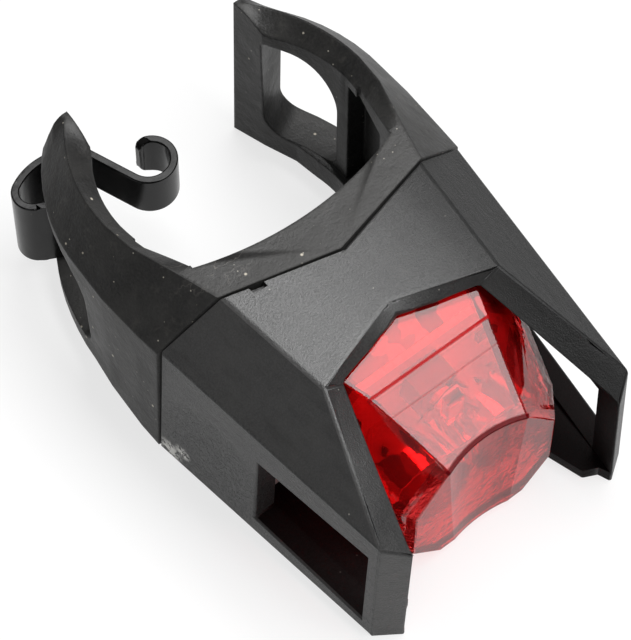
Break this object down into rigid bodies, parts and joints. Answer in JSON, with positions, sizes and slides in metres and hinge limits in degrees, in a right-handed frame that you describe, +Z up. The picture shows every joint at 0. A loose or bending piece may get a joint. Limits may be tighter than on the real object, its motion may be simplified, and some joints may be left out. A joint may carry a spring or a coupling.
{
  "type": "bicycle light",
  "caption": "Small faceted clip-on bicycle light: hard hood, red push-button lens and rubber cradle with two horns that grip a tube, with an S-shaped strap hook.",
  "frame": {"origin": "underside, in the middle of the width, level with the outer ends of the seam between hood and rubber", "axes": "-Y forward, the way the lens looks; +Y back towards the tube; +X to the right as seen from in front, which is the lamp's own left; +Z up, along the tube that the horns grip"},
  "size_m": [0.041, 0.0632, 0.0258],
  "materials": {
    "shell": "finely textured",
    "cradle_rubber": "dusty matt",
    "hook_plastic": "glossy",
    "lens_red": "transparent red, glossy",
    "inner_plastic": "satin",
    "seal_rubber": "matt",
    "screw_steel": "satin",
    "cell_steel": "satin",
    "contact_metal": "bright",
    "board_green": "satin",
    "switch_black": "satin",
    "stem_white": "satin",
    "led_epoxy": "clear, tinted",
    "reflector_chrome": "mirror"
  },
  "bodies": {
    "housing": {"hood": "shell", "rear_cover": "inner_plastic", "rear_seal": "seal_rubber", "cradle": "cradle_rubber", "lens_seal": "seal_rubber", "carrier": "inner_plastic", "carrier_screws": "screw_steel", "battery_front": "cell_steel", "battery_rear": "cell_steel", "contact_front": "contact_metal", "contact_rear": "contact_metal", "circuit_board": "board_green", "board_screws": "screw_steel", "switch_body": "switch_black", "driver_chip": "switch_black", "resistors": "switch_black", "led_left": "led_epoxy", "led_right": "led_epoxy", "led_leads": "contact_metal", "reflector_left": "reflector_chrome", "reflector_right": "reflector_chrome"},
    "lens_button": {"lens": "lens_red"},
    "switch_plunger": {"switch_stem": "stem_white"},
    "hook": {"strap_hook": "hook_plastic"}
  },
  "joints": [
    {"name": "lens_press", "type": "slide", "parent": "housing", "child": "lens_button", "axis": [0, 1, 0], "range_m": [0, 0.0005], "stiffness_N_per_m": 2200, "springref_m": -0.0004},
    {"name": "switch_press", "type": "slide", "parent": "housing", "child": "switch_plunger", "axis": [0, 1, 0], "range_m": [0, 0.0005]},
    {"name": "hook_swing", "type": "hinge", "parent": "housing", "child": "hook", "pos_m": [-0.01225, 0.02375, 0], "axis": [0, 0, 1], "range_deg": [-3, 55]}
  ],
  "couplings": [
    {"joint": "switch_press", "follows": "lens_press", "ratio": 1}
  ]
}
